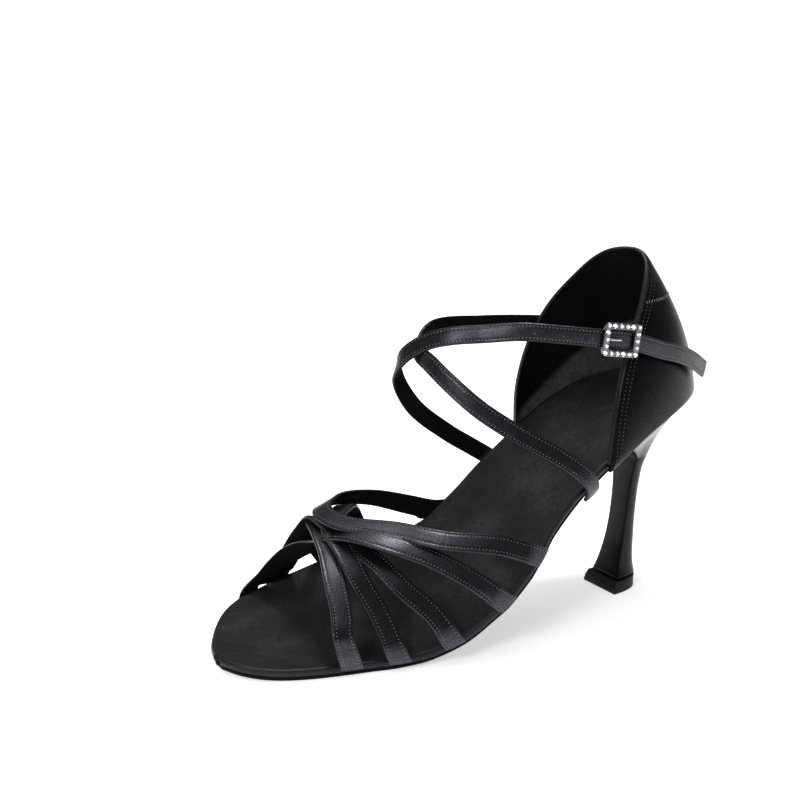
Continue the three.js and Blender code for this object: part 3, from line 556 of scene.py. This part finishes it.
class Ribbon:
    def __init__(self, points, wide, width, thick, base=0.0):
        self.curve, self.across = Curve(points), Curve(wide, 0.5)
        self.width, self.thick, self.base = width, thick, base
        n = 600
        pts = [self.curve.at(i / n) for i in range(n + 1)]
        self.run = np.concatenate([[0], np.cumsum([np.linalg.norm(b - a) for a, b in zip(pts, pts[1:])])])
        self.length = float(self.run[-1])

    def share(self, s):
        """Curve parameter at a distance along the strap."""
        return float(np.interp(s, self.run, np.linspace(0, 1, len(self.run))))

    def axes(self, t):
        p, d = self.curve.at(t), self.curve.tangent(t)
        v = self.across.at(t)
        w = unit(v - d * np.dot(v, d))
        return p, d, w, unit(np.cross(d, w)), float(np.dot(v, d) / np.dot(v, w))

    def point(self, s, y, h):
        """s: distance along. y: across. h: off the inner face. The end is cut along the rim."""
        p, d, w, n, slide = self.axes(self.share(s))
        return p + w * y + d * (slide * y) + n * (self.base + h)

    def build(self, into, step=1.1, welt=0.14, pale=(0.0, 0.0)):
        ring, mats = section(self.width, self.thick, welt)
        count = max(int(self.length / step), 8)
        rings, uv = [], []
        for i in range(count + 1):
            s = self.length * i / count
            p, d, w, n, slide = self.axes(self.share(s))
            rings.append([p + w * y + d * (slide * y) + n * (self.base + h) for y, h in ring])
            uv.append([(s, y if k < 25 else y + 30) for k, (y, h) in enumerate(ring)])
        base = len(into.f)
        into.loft(rings, mats, uv=uv)
        n = len(ring)
        for i in range(count):
            s = self.length * (i + 0.5) / count
            if s < pale[0] or s > self.length - pale[1]:
                for j in range(n):
                    if into.m[base + i * n + j] == 0:
                        into.m[base + i * n + j] = 2

    def stitches(self, into, pitch=1.35, skip=(0.6, 0.6)):
        """Two rows of stitches in pale thread as painted highlight, with a needle hole after each drawn as a
        flat dark diamond of painted shade.
        """
        h = self.thick * FACE
        for side in (-1, 1):
            y = side * self.width / 2 * STITCH_ROW
            s = skip[0]
            while s < self.length - skip[1]:
                stitch(into, [self.point(s + k, y, h) for k in (0, 0.32, 0.64)],
                       self.axes(self.share(s + 0.3))[3], 0.34, 0.15)
                # Needle hole: a flat dark diamond, painted shade.
                a = self.point(s + 0.83, y, h - 0.02)
                p, d, w, n, _ = self.axes(self.share(s + 1.0))
                into.add([a + n * 0.02, a + d * 0.22 + w * 0.17 + n * 0.02, a + d * 0.44 + n * 0.02,
                          a + d * 0.22 - w * 0.17 + n * 0.02], [(0, 1, 2, 3)], 1)
                s += pitch


def stitch(into, line, up, wide, tall):
    """One stitch: a low, long bead sunk at its ends."""
    a, m, b = line
    d = unit(b - a)
    side = unit(np.cross(up, d)) * wide / 2
    into.add([a - up * 0.05, m + side, m + up * tall, m - side, b - up * 0.05, m - up * 0.08],
             [(0, 1, 2), (0, 2, 3), (4, 2, 1), (4, 3, 2), (0, 5, 1), (0, 3, 5), (4, 1, 5), (4, 5, 3)])


def uprights(rows, points, sign):
    curve = Curve(points)
    out = []
    for i, r in enumerate(rows):
        d = curve.tangent(i / (len(rows) - 1))
        w = vec(-0.8 * r[4], 0, 1 - 0.4 * r[4])
        w = unit(w - d * np.dot(w, d))
        out.append(turned(w, d, -r[3] * sign) * sign)
    return out


def over_foot(points, leans, ends):
    curve = Curve(points)
    middle = -0.27 * BALL_WIDTH
    last = len(points) - 1
    out = []
    for i, p in enumerate(points):
        if i < 2:
            out.append(ends[0])
            continue
        if i > last - 2:
            out.append(ends[1])
            continue
        d = curve.tangent(i / last)
        h = max(p[2] - BALL_HEIGHT, 0)
        n = vec(0.3 * h, (p[1] - middle) * 0.9, h + 0.5)
        n = unit(n - d * np.dot(n, d))
        out.append(turned(np.cross(n, d), d, leans[i]))
    return out


inner_points = [place(r) for r in INNER_ANKLE]
outer_points = [place(r) for r in OUTER_ANKLE]
inner_strap = Ribbon(inner_points, uprights(INNER_ANKLE, inner_points, 1), ANKLE_WIDTH, STRAP_THICK)
outer_strap = Ribbon(outer_points, uprights(OUTER_ANKLE, outer_points, -1), ANKLE_WIDTH, STRAP_THICK)
tab_points = [place(r) for r in TAB]
tab_strap = Ribbon(tab_points, uprights(TAB, tab_points, -1), TAB_WIDTH, TAB_THICK)


def rim_end(at, side, towards, tuck):
    """The two end points of a strand beside the rim. It keeps its angle to the rim as it folds over."""
    over, t = beside_rim(at, side, LAP), along_rim(at, side)
    along = min(max(float(np.dot(unit(towards - over), t)), -0.9), 0.9)
    shift = (LAP + tuck) * along / math.sqrt(1 - along * along)
    return over, beside_rim(at - shift / SOLE_LENGTH, side, -tuck), t


def strand(outer, inner, path):
    middle = [place(r) for r in path]
    over0, low0, t0 = rim_end(outer, 1, middle[0], TUCK)
    over1, low1, t1 = rim_end(inner, -1, middle[-1], INNER_TUCK)
    points = [low0, over0] + middle + [over1, low1]
    leans = [0, 0] + [r[3] for r in path] + [0, 0]
    return Ribbon(points, over_foot(points, leans, [t0, t1]), STRAP_WIDTH, STRAP_THICK, -STRAP_THICK)


strands = [strand(*s) for s in STRANDS]

ankle = Build()
inner_strap.build(ankle)
outer_strap.build(ankle)
ankle.done("ankle_straps", [SATIN, LINING, SATIN_END], "satin", node=["cross_straps"])
tab = Build()
tab_strap.build(tab, welt=0.08)
tab.done("buckle_loop", [SATIN, LINING, SATIN_END], "satin", node=["buckle_tab"])
vamp = Build()
for r in strands:
    r.build(vamp, pale=(PALE_END, 0.0))
vamp.done("vamp", [SATIN, LINING, SATIN_END], "satin", node=["vamp_straps"])

seams = Build()
inner_strap.stitches(seams)
outer_strap.stitches(seams)
for r in strands:
    r.stitches(seams)
seams.done("strap_stitches", [HIGHLIT_THREAD, HOLE_SHADE], "satin")


# footbed and sole

def stations(first, count):
    out = []
    for i in range(count + 1):
        u = i / count
        v = 0.45 * u + 0.275 * (1 - math.cos(math.pi * u))
        out.append(first + (1 - first) * v)
    return out


def slab_rings(first, count, profile):
    """profile: (side share or rim marks, out, depth). Rings run across the top and back underneath."""
    rings = []
    for at in stations(first, count):
        ring = []
        for mark, out, depth in profile:
            if abs(mark) == 1:
                ring.append(bed(at, mark, -depth, out))
            else:
                a, b = plan(at, -1, -1.6), plan(at, 1, -1.6)
                ring.append(on_bed(a + (b - a) * (mark + 1) / 2, -depth, at))
        rings.append(ring)
    return rings


inner_marks = [-0.96, -0.85, -0.7, -0.5, -0.3, -0.1, 0.1, 0.3, 0.5, 0.7, 0.85, 0.96]
top = [(k, 0, 0.0) for k in inner_marks]
right = [(1, -1.5, 0.0), (1, -1.3, 0.10), (1, -1.05, 0.02), (1, -0.6, 0.10), (1, -0.2, 0.42),
         (1, -0.02, 0.95), (1, 0.0, 1.7), (1, -0.15, 2.35), (1, -0.6, 2.85)]
left = [(-1, o, d) for _, o, d in right[::-1]]
under = [(k, 0, INSOLE_THICK) for k in (0.8, 0.3, -0.3, -0.8)]
profile = top + right + under + left
rings = slab_rings(0.0, 150, profile)
mats = []
for j in range(len(profile)):
    a, b = profile[j], profile[(j + 1) % len(profile)]
    top_side = max(a[2], b[2]) < 0.11 and (abs(a[0]) < 1 or a[1] <= -1.5) and (abs(b[0]) < 1 or b[1] <= -1.5)
    mats.append(0 if top_side else 1)
footbed = Build()
footbed.loft(rings, mats)
footbed.done("footbed", [SOCK, WRAP], "sock", node=["insole"])

d0, d1 = INSOLE_THICK + GAP, INSOLE_THICK + GAP + OUTSOLE_THICK
i0 = -OUTSOLE_INSET
right = [(1, i0 - 0.25, d0), (1, i0, d0 + 0.25), (1, i0, d0 + 0.8), (1, i0 - 0.12, d1 - 0.2),
         (1, i0 - 0.5, d1)]
profile = ([(k, 0, d0) for k in (-0.9, -0.45, 0, 0.45, 0.9)] + right
           + [(k, 0, d1) for k in (0.9, 0.45, 0, -0.45, -0.9)] + [(-1, o, d) for _, o, d in right[::-1]])
sole = Build()
sole.loft(slab_rings(BREAST + 0.006, 120, profile))
sole.done("dance_sole", [SUEDE], "sole", node=["outsole"])


# heel

def post_ring(wide, deep, front, z, n=48):
    ring = []
    f = front * HEEL_TIP_WIDTH
    for i in range(n + 1):
        a = math.pi * i / n
        c, s = math.cos(a), math.sin(a)
        ring.append(vec(f - deep * HEEL_TIP_WIDTH * abs(s) ** 0.8,
                        wide * HEEL_TIP_WIDTH / 2 * math.copysign(abs(c) ** 0.8, c), z))
    return ring


def seat_ring(n=48):
    over = 1.5 - INSOLE_THICK
    ring = []
    for i in range(n + 1):
        u = 2 * i / n - 1
        side = 1 if u <= 0 else -1
        if i == n // 2:
            ring.append(bed(0, 0, over) + vec(-COUNTER_THICK, 0, 0))
        else:
            ring.append(bed(BREAST * u * u, side, over, COUNTER_THICK))
    return ring


def smooth_rows(rows, count):
    """rows: lists of numbers with the first one rising. Evenly spaced rows between them."""
    cols = [column(rows, k) for k in range(1, len(rows[0]))]
    lo, hi = rows[0][0], rows[-1][0]
    places = [lo + (hi - lo) * i / count for i in range(count + 1)]
    return [(at, *[c(at) for c in cols]) for at in places]


first_up = (HEEL_TIP_HEIGHT + GAP) / SEAT_HEIGHT
post_rows = [(first_up, *POST[0][1:])] + POST[1:]
post_rings = [post_ring(w, d, f, up * SEAT_HEIGHT) for up, w, d, f in smooth_rows(post_rows, 44)]
neck, seat = post_rings[-1], seat_ring()
flare_out = column([(0.0, 0.0)] + [(b, a) for a, b in FLARE], 1)
for i in range(1, 33):
    up = i / 32
    out = flare_out(up)
    post_rings.append([vec(p[0] + (q[0] - p[0]) * out, p[1] + (q[1] - p[1]) * out, p[2] + (q[2] - p[2]) * up)
                       for p, q in zip(neck, seat)])


def trim_height(x):
    at = (x - SEAT_BACK) / SOLE_LENGTH
    d = INSOLE_THICK + GAP
    a = slope_at(max(at, 0))
    z = height_at(0) - math.tan(a) * at * SOLE_LENGTH if at < 0 else height_at(at)
    return z - d / math.cos(a)


for ring in post_rings:
    for p in ring:
        p[2] = min(p[2], trim_height(p[0]))
heel = Build()
heel.loft(post_rings)
heel_obj = heel.done("covered_heel", [HEEL_COVER], "heel_cover", node=["heel"])
bevel = heel_obj.modifiers.new("edge", "BEVEL")
bevel.width, bevel.segments, bevel.limit_method, bevel.angle_limit = 0.0006, 3, "ANGLE", math.radians(40)

tip = Build()
tip_rows = [(0.0, 0.97, 0.80, 0.405), (0.03, 1.0, 0.82, 0.42), (0.35, 0.985, 0.81, 0.41),
            (1.0, 0.91, 0.765, 0.34)]
tip.loft([post_ring(w, d, f, up * HEEL_TIP_HEIGHT) for up, w, d, f in smooth_rows(tip_rows, 14)])
tip_obj = tip.done("top_piece", [TIP], "tip", node=["heel_tip"])
bevel = tip_obj.modifiers.new("edge", "BEVEL")
bevel.width, bevel.segments, bevel.limit_method, bevel.angle_limit = 0.0004, 3, "ANGLE", math.radians(40)


# counter

topline = Curve([vec(a * SOLE_LENGTH, b * BALL_WIDTH, SEAT_HEIGHT + c * COUNTER_RISE) for a, b, c in TOPLINE])


def counter_point(u, v, depth):
    """u: -1 inner front corner, 0 back, +1 outer front corner. v: 0 low, 1 top. depth: off the inside."""
    side = -1 if u < 0 else 1
    r = abs(u)
    at = COUNTER_END * r * r
    if r == 0:
        low = bed(0, 0, -INSOLE_THICK) + vec(-1.5 * GAP - depth, 0, 0)
        n = vec(-1, 0, 0)
    else:
        low = bed(at, side, -INSOLE_THICK, GAP + depth)
        n = plan(at, side, 1) - plan(at, side)
        n = unit(vec(n[0], n[1], 0))
    high = topline.at((u + 1) / 2) + n * (depth - COUNTER_THICK)
    swell = 0.20 * BALL_WIDTH * v * (1 - v) * (1 - 0.8 * r * r)
    return low + (high - low) * v + n * swell


SPAN, TALL = 128, 34
shell = Build()
rings, uv = [], []
for i in range(SPAN + 1):
    u = 2 * i / SPAN - 1
    ring, row = [], []
    for j in range(TALL + 1):
        v = j / TALL * 0.985
        ring.append(counter_point(u, v, COUNTER_THICK))
        row.append((u * 60, v * 50))
    for k in range(1, 6):
        a = math.pi * k / 6
        d = COUNTER_THICK * (0.5 + 0.5 * math.cos(a))
        ring.append(counter_point(u, 0.985 + 0.015 * math.sin(a), d))
        row.append((u * 60, 50 + k * 0.4))
    for j in range(TALL, -1, -1):
        v = j / TALL * 0.985
        ring.append(counter_point(u, v, 0.0))
        row.append((u * 60, 120 - v * 50))
    rings.append(ring)
    uv.append(row)
n = len(rings[0])
mats = [0] * TALL + [2] * 6 + [1] * (n - TALL - 6)
shell.loft(rings, mats, uv=uv)
shell.done("counter_shell", [COUNTER_SATIN, LINING, PIPING], "satin", node=["counter"])


def counter_surface(u, down, depth):
    """A point at a distance below the top edge, square to that edge, on the outer face."""
    e = 0.004
    edge = unit(counter_point(min(u + e, 1), 1, depth) - counter_point(max(u - e, -1), 1, depth))
    a, b = counter_point(u, 1, depth), counter_point(u, 0, depth)
    c = unit(b - a)
    slant = max(np.linalg.norm(np.cross(edge, c)), 0.2)
    full = np.linalg.norm(b - a)
    v = 1 - min(down / slant / full, 0.98)
    p = counter_point(u, v, depth)
    du = counter_point(min(u + e, 1), v, depth) - counter_point(max(u - e, -1), v, depth)
    dv = counter_point(u, min(v + 0.01, 1), depth) - counter_point(u, max(v - 0.01, 0), depth)
    out = unit(np.cross(du, dv))
    side = vec(-1, 0, 0) if abs(u) < 0.2 else vec(0, math.copysign(1, u), 0)
    if np.dot(out, side) < 0:
        out = -out
    return p, out


def stitch_line(into, points, pitch, length, wide, tall):
    """Stitches along a line of (point, outward) pairs."""
    run = np.concatenate([[0], np.cumsum([np.linalg.norm(b[0] - a[0]) for a, b in zip(points, points[1:])])])
    xs = np.array([p[0] for p in points])
    ns = np.array([p[1] for p in points])
    at = lambda s: np.array([np.interp(s, run, xs[:, k]) for k in range(3)])
    up = lambda s: unit(np.array([np.interp(s, run, ns[:, k]) for k in range(3)]))
    s = 0.3
    while s + length < run[-1]:
        stitch(into, [at(s), at(s + length / 2), at(s + length)], up(s + length / 2), wide, tall)
        s += pitch


trim = Build()
for down in (1.9, 3.6):
    line = [counter_surface(-0.985 + 1.97 * i / 300, down, COUNTER_THICK + 0.02) for i in range(301)]
    stitch_line(trim, line, 1.55, 1.0, 0.30, 0.16)
trim.done("counter_stitches", [COUNTER_THREAD], "satin")


PATCH_DOWN = 17.6    # below the counter's peak to the back patch's seam

bars = Build()
line = []
for i in range(121):
    u = -0.46 + 0.92 * i / 120
    top_z = counter_point(0, 1, COUNTER_THICK)[2] - PATCH_DOWN
    lo, hi = 0.0, 1.0
    for _ in range(26):
        mid = (lo + hi) / 2
        if counter_point(u, mid, COUNTER_THICK)[2] < top_z:
            lo = mid
        else:
            hi = mid
    if lo > 0.985:
        continue
    p = counter_point(u, lo, COUNTER_THICK + 0.03)
    e = 0.004
    du = counter_point(u + e, lo, COUNTER_THICK) - counter_point(u - e, lo, COUNTER_THICK)
    dv = counter_point(u, min(lo + 0.01, 1), COUNTER_THICK) - counter_point(u, lo - 0.01, COUNTER_THICK)
    out = unit(np.cross(du, dv))
    if np.dot(out, vec(-1, 0.2, 0)) < 0:
        out = -out
    line.append((p, out))
run = 0.0
for a, b in zip(line, line[1:]):
    step = np.linalg.norm(b[0] - a[0])
    run += step
    if run > 1.25:
        run = 0.0
        d = unit(b[0] - a[0])
        across = unit(np.cross(a[1], d)) * 0.75
        lean = d * 0.25
        stitch(bars, [a[0] - across - lean, a[0], a[0] + across + lean], a[1], 0.46, 0.22)
bars.done("back_patch_bars", [PALE_THREAD_AND_GLINT], "satin")


def tube(into, line, radius, n=8, mat=0):
    rings = []
    up = vec(0, 0, 1)
    for i, p in enumerate(line):
        d = unit(line[min(i + 1, len(line) - 1)] - line[max(i - 1, 0)])
        a = unit(np.cross(d, up)) if abs(np.dot(d, up)) < 0.98 else unit(np.cross(d, vec(0, 1, 0)))
        b = np.cross(d, a)
        rings.append([p + (a * math.cos(2 * math.pi * k / n) + b * math.sin(2 * math.pi * k / n)) * radius
                      for k in range(n)])
    into.loft(rings, [mat] * n)


bead = Build()
tube(bead, [counter_point(-0.99 + 1.98 * i / 220, 0.988, 0.15) for i in range(221)], 0.42)
bead.done("topline_bead", [PIPING], "satin")


# buckle

def on_strap(row):
    t = row / (len(INNER_ANKLE) - 1)
    p, d, w, n, _ = inner_strap.axes(t)
    return lambda x, y, h: p + d * x + w * y + n * h


on_buckle, on_hook = on_strap(SEAT_ROW), on_strap(HOOK_ROW)


def buckle_frame():
    a, b = (BUCKLE_LENGTH - BUCKLE_BAR) / 2, (BUCKLE_TALL - BUCKLE_BAR) / 2
    c, low, bar = 0.9, STRAP_THICK + GAP, BUCKLE_BAR / 2
    loop = []
    for sx, sy in ((1, 1), (-1, 1), (-1, -1), (1, -1)):
        for k in range(7):
            q = math.pi / 2 * k / 6
            if sx * sy < 0:
                q = math.pi / 2 - q
            loop.append((sx * (a - c + c * math.cos(q)), sy * (b - c + c * math.sin(q)),
                         sx * math.cos(q), sy * math.sin(q)))
        nx, ny = {(1, 1): (-1, 1), (-1, 1): (-1, -1), (-1, -1): (1, -1), (1, -1): (1, 1)}[(sx, sy)]
        last = loop[-1]
        end = (nx * (a - c) if sx != nx else sx * a, ny * (b - c) if sy != ny else sy * b)
        for k in range(1, 8):
            f = k / 8
            loop.append((last[0] + (end[0] - last[0]) * f, last[1] + (end[1] - last[1]) * f,
                         last[2], last[3]))
    shape = [(-1, 0), (-1, 0.42), (-0.93, 0.55), (-0.72, 0.60), (0.72, 0.60), (0.93, 0.55), (1, 0.42), (1, 0)]
    out = Build()
    out.loft([[on_buckle(x + nx * o * bar, y + ny * o * bar, low + h * BUCKLE_THICK) for o, h in shape]
              for x, y, nx, ny in loop], loop=True)
    return out


buckle_frame().done("stone_buckle", [SILVER], "buckle", node=["buckle_frame"])

stones = Build()
claws = Build()


def stone(x, y, r):
    """A cut stone: girdle, crown facets and a flat table, with four claws round it. Its facets take bright,
    grey and dark copies of the stone material, as painted highlight and painted reflections.
    """
    low = STRAP_THICK + GAP + 0.60 * BUCKLE_THICK
    n = 8
    spin = random.random() * 0.6
    tip = random.uniform(-0.12, 0.12), random.uniform(-0.12, 0.12)
    rings = []
    for rad, h in ((r * 0.86, -0.05), (r, 0.22), (r * 0.60, 0.62)):
        rings.append([on_buckle(x + rad * math.cos(spin + 2 * math.pi * k / n),
                                y + rad * math.sin(spin + 2 * math.pi * k / n),
                                low + h + (tip[0] * math.cos(spin + 2 * math.pi * k / n)
                                           + tip[1] * math.sin(spin + 2 * math.pi * k / n)) * 0.3)
                      for k in range(n)])
    # Facets take the bright, grey and dark copies in turn: painted highlight and painted reflections.
    stones.loft(rings, [0, 1, 0, 0, 1, 0, 2, 1])
    for k in range(4):
        q = math.pi / 4 + math.pi / 2 * k
        cx, cy = x + (r + 0.06) * math.cos(q), y + (r + 0.06) * math.sin(q)
        prong_rings = []
        for rad, h in ((0.17, 0.0), (0.17, 0.32), (0.05, 0.45)):
            prong_rings.append([on_buckle(cx + rad * math.cos(math.pi * j / 3),
                                          cy + rad * math.sin(math.pi * j / 3), low + h) for j in range(6)])
        claws.loft(prong_rings)


a, b = (BUCKLE_LENGTH - BUCKLE_BAR) / 2, (BUCKLE_TALL - BUCKLE_BAR) / 2
for k in range(6):
    x = -a + 2 * a * k / 5
    stone(x, b, 1.04)
    stone(x, -b, 1.04)
for k in range(1, 4):
    y = -b + 2 * b * k / 4
    stone(a, y, 1.04)
    stone(-a, y, 1.04)
stones.done("buckle_stones", [STONE_HIGHLIGHT, STONE_GREY_REFLECTION, STONE_DARK_REFLECTION], "buckle", smooth=False)
claws.done("stone_claws", [SILVER], "buckle")

wire_half = ANKLE_WIDTH / 2 + GAP + WIRE / 2
wire_over, wire_under = STRAP_THICK - WIRE / 2, -GAP - WIRE / 2
wire_side = (wire_over + wire_under) / 2
keeper_curve = Curve([
    on_buckle(-2, wire_half, wire_over), on_hook(1, wire_half, wire_over), on_hook(0, wire_half, wire_side),
    on_hook(0, wire_half - 1, wire_under), on_hook(0, 0, wire_under), on_hook(0, 1 - wire_half, wire_under),
    on_hook(0, -wire_half, wire_side), on_hook(1, -wire_half, wire_over),
    on_buckle(-2, -wire_half, wire_over)], 0.15)
keeper = Build()
tube(keeper, [keeper_curve.at(i / 140) for i in range(141)], WIRE / 2, 10)
keeper.done("hook_wire", [WIRE_SILVER], "buckle", node=["buckle_keeper"])
prong_low = STRAP_THICK + GAP + WIRE / 2
prong_curve = Curve([on_buckle(-BUCKLE_LENGTH / 2 + BUCKLE_BAR + GAP, 0, prong_low),
                     on_buckle(-2.5, 0, prong_low + 0.25), on_buckle(-0.5, 0, prong_low)], 0.15)
prong = Build()
tube(prong, [prong_curve.at(i / 24) for i in range(25)], WIRE / 2, 10)
prong.done("buckle_pin", [WIRE_SILVER], "buckle", node=["buckle_prong"])

# Punched holes along the ankle strap
holes = Build()


def hole(s):
    """A small punched hole: a dark disc inside as painted shade, and a pale speck on its lower lip as a painted
    glint.
    """
    p, d, w, n, _ = inner_strap.axes(inner_strap.share(s))
    c = p + n * STRAP_THICK * 1.03
    k = 16
    ring = lambda r, z: [c + (d * math.cos(2 * math.pi * j / k) + w * math.sin(2 * math.pi * j / k)) * r + n * z
                         for j in range(k)]
    holes.loft([ring(0.95, -0.05), ring(0.85, 0.02), ring(0.72, 0.01), ring(0.68, -0.06)],
               [1] * k, caps=(False, False))
    # Dark disc inside the hole: painted shade.
    holes.add(ring(0.70, -0.02), [tuple(range(k))], 0)
    # Pale speck on the lower lip: painted glint.
    a = c - w * 0.30 + n * 0.01
    holes.add([a - d * 0.30 - w * 0.08, a - w * 0.30, a + d * 0.30 - w * 0.08, a + w * 0.04,
               a + n * 0.12 - w * 0.10], [(0, 1, 4), (1, 2, 4), (2, 3, 4), (3, 0, 4)], 2)


buckle_s = float(np.interp(SEAT_ROW / (len(INNER_ANKLE) - 1),
                           np.linspace(0, 1, len(inner_strap.run)), inner_strap.run))
for s in (-32.0, -21.6, -10.8, 19.0, 32.4):
    hole(buckle_s + s)
holes.done("punched_holes", [HOLE_SHADE, EYELET, PALE_THREAD_AND_GLINT], "satin")


# stage

floor_me = bpy.data.meshes.new("floor")
floor_me.from_pydata([(-60, -60, 0), (60, -60, 0), (60, 60, 0), (-60, 60, 0)], [], [(0, 1, 2, 3)])
floor = bpy.data.objects.new("floor", floor_me)
bpy.context.collection.objects.link(floor)
FLOOR, tree, fb = shader("floor_paper", (0.93, 0.93, 0.93), 0.85, spec=0.1)
fn = noise(tree, 3.0, 2.0)
fr = ramp(tree, fn.outputs["Fac"], [(0.3, grey(0.925)), (0.7, grey(0.935))])
tree.links.new(fr.outputs[0], fb.inputs["Base Color"])
fb.inputs["Emission Color"].default_value = (1.0, 1.0, 1.0, 1)
fb.inputs["Emission Strength"].default_value = 0.55
floor_me.materials.append(FLOOR)

world = bpy.data.worlds.new("studio")
bpy.context.scene.world = world
world.use_nodes = True
world.node_tree.nodes["Background"].inputs[0].default_value = (1.0, 1.0, 1.0, 1)
world.node_tree.nodes["Background"].inputs[1].default_value = 0.24


def aimed(o, where, look):
    bpy.context.collection.objects.link(o)
    o.location = where
    o.rotation_mode = "QUATERNION"
    o.rotation_quaternion = (Vector(look) - Vector(where)).to_track_quat("-Z", "Y")


def softbox(name, where, look, size, tall, power):
    data = bpy.data.lights.new(name, "AREA")
    data.shape = "RECTANGLE"
    data.size, data.size_y, data.energy = size, tall, power
    aimed(bpy.data.objects.new(name, data), where, look)


middle = (0.075, -0.01, 0.05)
overhead = bpy.data.lights.new("overhead_diffuser", "SUN")
overhead.energy, overhead.angle = 1.0, math.radians(65)
aimed(bpy.data.objects.new("overhead_diffuser", overhead), (0.10, -0.20, 1.5), middle)
softbox("front_softbox", (1.00, 0.42, 0.69), middle, 0.34, 0.26, 5.5)
softbox("overhead_softbox", (-0.10, -0.19, 1.15), middle, 0.22, 0.22, 8.0)

# Camera at the photograph's place. Place, aim and lens come from a fit to points of the shoe's outline,
# made outside this script.
AZIMUTH, ELEVATION = 146.343, 16.621
CAMERA_PLACE = (0.39286, 0.43122, 0.25095)
FOCAL_PIXELS, FRAME_PIXELS, SENSOR = 1513.15, 800, 36
cam_data = bpy.data.cameras.new("camera")
cam = bpy.data.objects.new("camera", cam_data)
bpy.context.collection.objects.link(cam)
az, el = math.radians(AZIMUTH), math.radians(ELEVATION)
back = Vector((math.sin(az) * math.cos(el), -math.cos(az) * math.cos(el), math.sin(el)))
cam.location = Vector(CAMERA_PLACE)
cam.rotation_mode = "QUATERNION"
cam.rotation_quaternion = (-back).to_track_quat("-Z", "Y")
cam_data.sensor_width = SENSOR
cam_data.lens = FOCAL_PIXELS / FRAME_PIXELS * SENSOR
cam_data.clip_start, cam_data.clip_end = 0.01, 30
bpy.context.scene.camera = cam
bpy.context.scene.view_settings.view_transform = "Standard"
